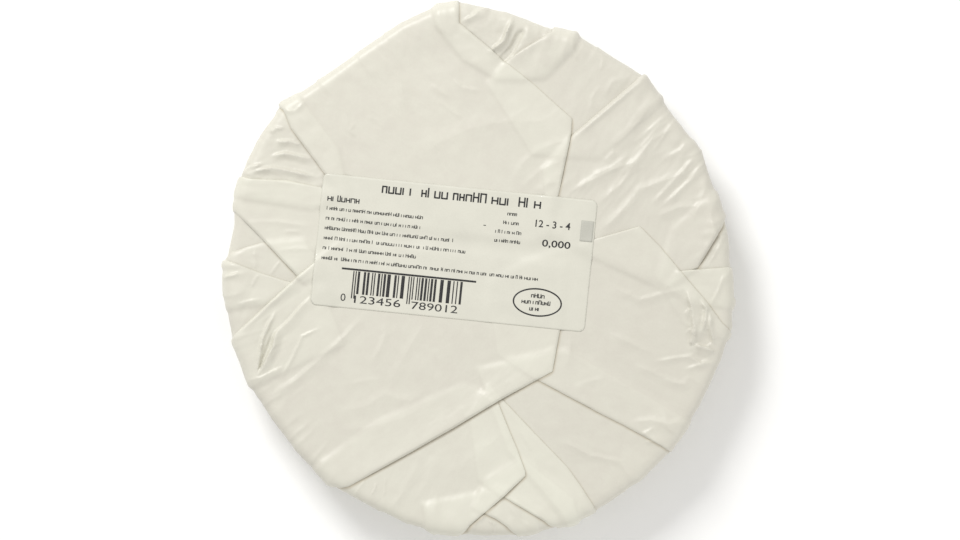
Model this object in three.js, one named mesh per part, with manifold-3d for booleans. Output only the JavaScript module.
// A soft-ripened cheese wheel in its folded paper wrapper, closure side up.
// Millimetres, +Z up. The origin is on the resting plane, at the middle of the package.
// The cheese is one low solid. The wrapper is one sheet: it lies under the cheese, comes up the
// side and folds over the top in overlapping flaps. A paper label holds the flaps shut.

import * as THREE from "three";
import { mergeVertices } from "three/addons/utils/BufferGeometryUtils.js";
import Module from "manifold-3d";

// ---------------------------------------------------------------- driving dimensions

const PACKAGE_WIDTH = 204; // left to right, along X
const PACKAGE_LENGTH = 214; // along Y
const PAPER = 0.4; // drawn thickness of the paper
const GAP = 0.3; // clearance between separate surfaces
const CHEESE_HEIGHT = 26.6;
const CHEESE_EASE = 1.1; // how much further in than the clearance the cheese's side stands
const CHEESE_SIDES = 96; // straight steps around the cheese
const SHOULDER = 7.5; // how far the rounded top edge reaches in from the rim
const FOOT_ROUNDING = 3.5; // radius of the bottom edge
const ROUNDING_STEPS = 6; // straight steps in each rounded edge
const FLAP_HEM = 7; // width of the ring where the flaps leave the side wall

const LABEL_WIDTH = 110;
const LABEL_HEIGHT = 53;
const LABEL_THICKNESS = 0.3;
const LABEL_CORNER = 2.4; // corner radius
const LABEL_CORNER_STEPS = 5;
const LABEL_TURN = -6; // degrees about +Z
const LABEL_CENTRE = [-9.6, 6.6];

// The rim is a ring of short straight pleats. These are its corners, anticlockwise.
const RIM_CORNERS = [
  [102, -7], [101.4, 1.2], [100.6, 13.2], [98, 22.4], [95.4, 29.6], [89.6, 47.6], [78.4, 61.2],
  [66.8, 77.2], [53.6, 85.6], [38.8, 94.4], [28.8, 96.2], [10.8, 103.2], [-8, 107], [-20, 104.4],
  [-31.2, 99.2], [-47.2, 88.4], [-63.2, 76.8], [-78.8, 66.4], [-89.2, 51.6], [-95.2, 38.4],
  [-99, 26.4], [-99.2, 17.6], [-102, 4.8], [-102.4, -4.4], [-101.2, -17.2], [-98.8, -28.8],
  [-92, -46.8], [-83.2, -60.4], [-73.2, -73.6], [-59.6, -86.8], [-45.2, -94.4], [-29.2, -102.4],
  [-15.2, -106], [4.8, -107], [18.8, -106.8], [32.8, -103.6], [47.6, -96.8], [64.8, -85.2],
  [76.8, -73.2], [88.8, -55.6], [97.6, -37.2], [102, -22.4],
];

// The flaps, as outlines seen from above, and the level at which each lies in the stack. Flaps
// on one level don't meet. An outline may run past the rim, where the side wall takes over.
const FLAPS = [
  {
    level: 1, // from the left side
    outline: [[-110, 26.5], [-97, 22.5], [-72.5, -3], [-60, -15], [-34, -8], [-44, 70], [-85, 80]],
  },
  {
    level: 1, // from the upper right
    outline: [[66, 78], [38, 54], [24, 34], [24, 8], [88, 1], [96, 16], [112, 30], [95, 95]],
  },
  {
    level: 1, // from the bottom
    outline: [[-70, -88], [-39, -53], [2, -48], [8, -53], [19, -82.5], [4, -97], [-6, -112]],
  },
  {
    level: 2, // from the right side
    outline: [[27, 14], [65, 17.5], [81, 0], [93, -14], [114, -30], [83, -78], [75, -73], [20, -44]],
  },
  {
    level: 2, // from the top
    outline: [[-80, 68], [-75, 58], [-62, 39], [-46, 18], [22, 20], [32, 30], [38, 60], [-7.5, 99],
      [-8, 112], [-90, 112]],
  },
  {
    level: 3, // from the lower left, over all the others
    outline: [[-102, -31], [-66, 2], [-54, 12], [20, 3], [33, -24], [30, -41], [8, -53],
      [-28, -74], [-57, -87.5], [-78, -100], [-112, -60]],
  },
];
const TOP_LEVEL = 3;

// Where the sheet leaves the top bare under the flaps.
const UNDERLAP_OPENING = [[-36, 22], [12, 26], [26, 2], [10, -34], [-30, -36], [-44, -6]];

// ---------------------------------------------------------------- heights worked out from them

const CHEESE_BASE = PAPER + GAP;
const CHEESE_TOP = CHEESE_BASE + CHEESE_HEIGHT;
const SHEET_TOP = CHEESE_TOP + GAP + PAPER;
const flapBase = (level) => SHEET_TOP + GAP + (level - 1) * (PAPER + GAP);
const STACK_TOP = flapBase(TOP_LEVEL) + PAPER;
const LABEL_BASE = STACK_TOP + GAP;
const BELOW_SKIN = PAPER / 2; // how far a flap's hem sinks into the sheet under it

// ---------------------------------------------------------------- solids

const wasm = await Module();
wasm.setup();

/** Turns a closed three.js geometry into a solid that can be joined and cut. */
function solidOf(geometry) {
  const bare = geometry.clone();
  bare.deleteAttribute("normal");
  bare.deleteAttribute("uv");
  const merged = mergeVertices(bare, 1e-4);
  return new wasm.Manifold(
    new wasm.Mesh({
      numProp: 3,
      vertProperties: new Float32Array(merged.attributes.position.array),
      triVerts: new Uint32Array(merged.index.array),
    }),
  );
}

/** Turns a solid back into a three.js geometry. */
function geometryOf(solid) {
  const mesh = solid.getMesh();
  const geometry = new THREE.BufferGeometry();
  geometry.setAttribute("position", new THREE.BufferAttribute(mesh.vertProperties, 3));
  geometry.setIndex(new THREE.BufferAttribute(mesh.triVerts, 1));
  geometry.computeVertexNormals();
  return geometry;
}

/** The rim's corners, fitted to the package's width and length and centred on the origin. */
function fittedRim() {
  const box = new THREE.Box2().setFromPoints(RIM_CORNERS.map(([x, y]) => new THREE.Vector2(x, y)));
  const size = box.getSize(new THREE.Vector2());
  const centre = box.getCenter(new THREE.Vector2());
  return RIM_CORNERS.map(([x, y]) => [
    ((x - centre.x) * PACKAGE_WIDTH) / size.x,
    ((y - centre.y) * PACKAGE_LENGTH) / size.y,
  ]);
}

const RIM = fittedRim();

/** The cheese's outline: the rim with its pleat corners rounded off. */
function roundedRim() {
  const eased = RIM.map(([x, y], i) => {
    const [beforeX, beforeY] = RIM[(i + RIM.length - 1) % RIM.length];
    const [afterX, afterY] = RIM[(i + 1) % RIM.length];
    return new THREE.Vector3((beforeX + 2 * x + afterX) / 4, (beforeY + 2 * y + afterY) / 4, 0);
  });
  const points = new THREE.CatmullRomCurve3(eased, true).getSpacedPoints(CHEESE_SIDES);
  return points.slice(0, CHEESE_SIDES).map(({ x, y }) => [x, y]);
}

/**
 * A closed form around the Z axis whose sections follow an outline. Each profile point is
 * [inset from the outline, height], from the bottom up; an inset of Infinity is on the axis.
 */
function outlineLathe(outline, profile) {
  const points = profile.map(([inset, z]) => new THREE.Vector2(inset === Infinity ? 0 : 1, z));
  const geometry = new THREE.LatheGeometry(points, outline.length);
  const position = geometry.attributes.position;
  for (let segment = 0; segment <= outline.length; segment++) {
    const [x, y] = outline[segment % outline.length];
    const reach = Math.hypot(x, y);
    profile.forEach(([inset, z], step) => {
      const share = inset === Infinity ? 0 : (reach - inset) / reach;
      position.setXYZ(segment * profile.length + step, x * share, y * share, z);
    });
  }
  return geometry;
}

/** Profile points of a rounded edge, as [inset, height], going up around its centre. */
function roundedEdge(centreInset, centreHeight, across, up, fromDegrees, toDegrees) {
  return Array.from({ length: ROUNDING_STEPS + 1 }, (_, step) => {
    const angle = THREE.MathUtils.degToRad(
      THREE.MathUtils.lerp(fromDegrees, toDegrees, step / ROUNDING_STEPS),
    );
    return [centreInset - across * Math.cos(angle), centreHeight + up * Math.sin(angle)];
  });
}

/** A low wheel with a rounded foot and shoulder, held in from the outline by inset. */
function wheelForm(outline, inset, base, top) {
  const foot = FOOT_ROUNDING - inset;
  const shoulder = SHOULDER - inset;
  return outlineLathe(outline, [
    [Infinity, base],
    ...roundedEdge(inset + foot, base + foot, foot, foot, -90, 0),
    ...roundedEdge(inset + shoulder, top - shoulder, shoulder, shoulder, 0, 90),
    [Infinity, top],
  ]);
}

/** An upright prism over an outline, between two heights. */
function prism(outline, base, top) {
  const shape = new THREE.Shape(outline.map(([x, y]) => new THREE.Vector2(x, y)));
  const geometry = new THREE.ExtrudeGeometry(shape, { depth: top - base, bevelEnabled: false });
  return geometry.translate(0, 0, base);
}

// ---------------------------------------------------------------- the pieces

/** The cheese: one low solid wheel. */
function cheeseWheel() {
  return wheelForm(roundedRim(), PAPER + GAP + CHEESE_EASE, CHEESE_BASE, CHEESE_TOP);
}

/** The space in which the flaps lie: everything above the sheet, inside the shoulder. */
function flapSpace(inset) {
  return solidOf(
    outlineLathe(RIM, [
      [Infinity, SHEET_TOP - BELOW_SKIN],
      [inset, SHEET_TOP - BELOW_SKIN],
      [inset, STACK_TOP + GAP],
      [Infinity, STACK_TOP + GAP],
    ]),
  );
}

/** One flap: a thin plate at its level, and the hem by which it hangs on the side wall. */
function flap({ level, outline }, wholeTop, hemRing) {
  const base = flapBase(level);
  const plate = solidOf(prism(outline, base, base + PAPER)).intersect(wholeTop);
  const hem = solidOf(prism(outline, SHEET_TOP - BELOW_SKIN, base + PAPER)).intersect(hemRing);
  return plate.add(hem);
}

/** The wrapper: the sheet around the cheese, open on top under the flaps, and its flaps. */
function wrapper() {
  const outside = solidOf(wheelForm(RIM, 0, 0, SHEET_TOP));
  const inside = solidOf(wheelForm(RIM, PAPER, PAPER, SHEET_TOP - PAPER));
  const opening = solidOf(prism(UNDERLAP_OPENING, CHEESE_TOP, SHEET_TOP + GAP));
  const sheet = outside.subtract(inside).subtract(opening);
  const wholeTop = flapSpace(SHOULDER);
  const hemRing = wholeTop.subtract(flapSpace(SHOULDER + FLAP_HEM));
  const folded = FLAPS.reduce((body, each) => body.add(flap(each, wholeTop, hemRing)), sheet);
  return geometryOf(folded);
}

/** The label: a thin rectangle with rounded corners, centred on its own middle. */
function label() {
  const reachX = LABEL_WIDTH / 2 - LABEL_CORNER;
  const reachY = LABEL_HEIGHT / 2 - LABEL_CORNER;
  const cornersAnticlockwise = [[1, 1], [-1, 1], [-1, -1], [1, -1]];
  const shape = new THREE.Shape();
  cornersAnticlockwise.forEach(([sideX, sideY], turn) => {
    const start = (turn * Math.PI) / 2;
    shape.absarc(sideX * reachX, sideY * reachY, LABEL_CORNER, start, start + Math.PI / 2, false);
  });
  return new THREE.ExtrudeGeometry(shape, {
    depth: LABEL_THICKNESS,
    bevelEnabled: false,
    curveSegments: LABEL_CORNER_STEPS,
  });
}

/** A named mesh with its own material. */
function piece(name, geometry, colour, roughness) {
  const material = new THREE.MeshStandardMaterial({ color: colour, roughness, metalness: 0 });
  const mesh = new THREE.Mesh(geometry, material);
  mesh.name = name;
  return mesh;
}

// ---------------------------------------------------------------- assembly

const cheese = piece("cheese_wheel", cheeseWheel(), 0xefe6d0, 0.8);
const paper = piece("wrapper", wrapper(), 0xe6e2d6, 0.5);
const sticker = piece("label", label(), 0xf2f1ec, 0.45);
sticker.rotation.z = THREE.MathUtils.degToRad(LABEL_TURN);
sticker.position.set(LABEL_CENTRE[0], LABEL_CENTRE[1], LABEL_BASE);

const cheeseInWrapper = new THREE.Group();
cheeseInWrapper.add(cheese, paper, sticker);

export default cheeseInWrapper;
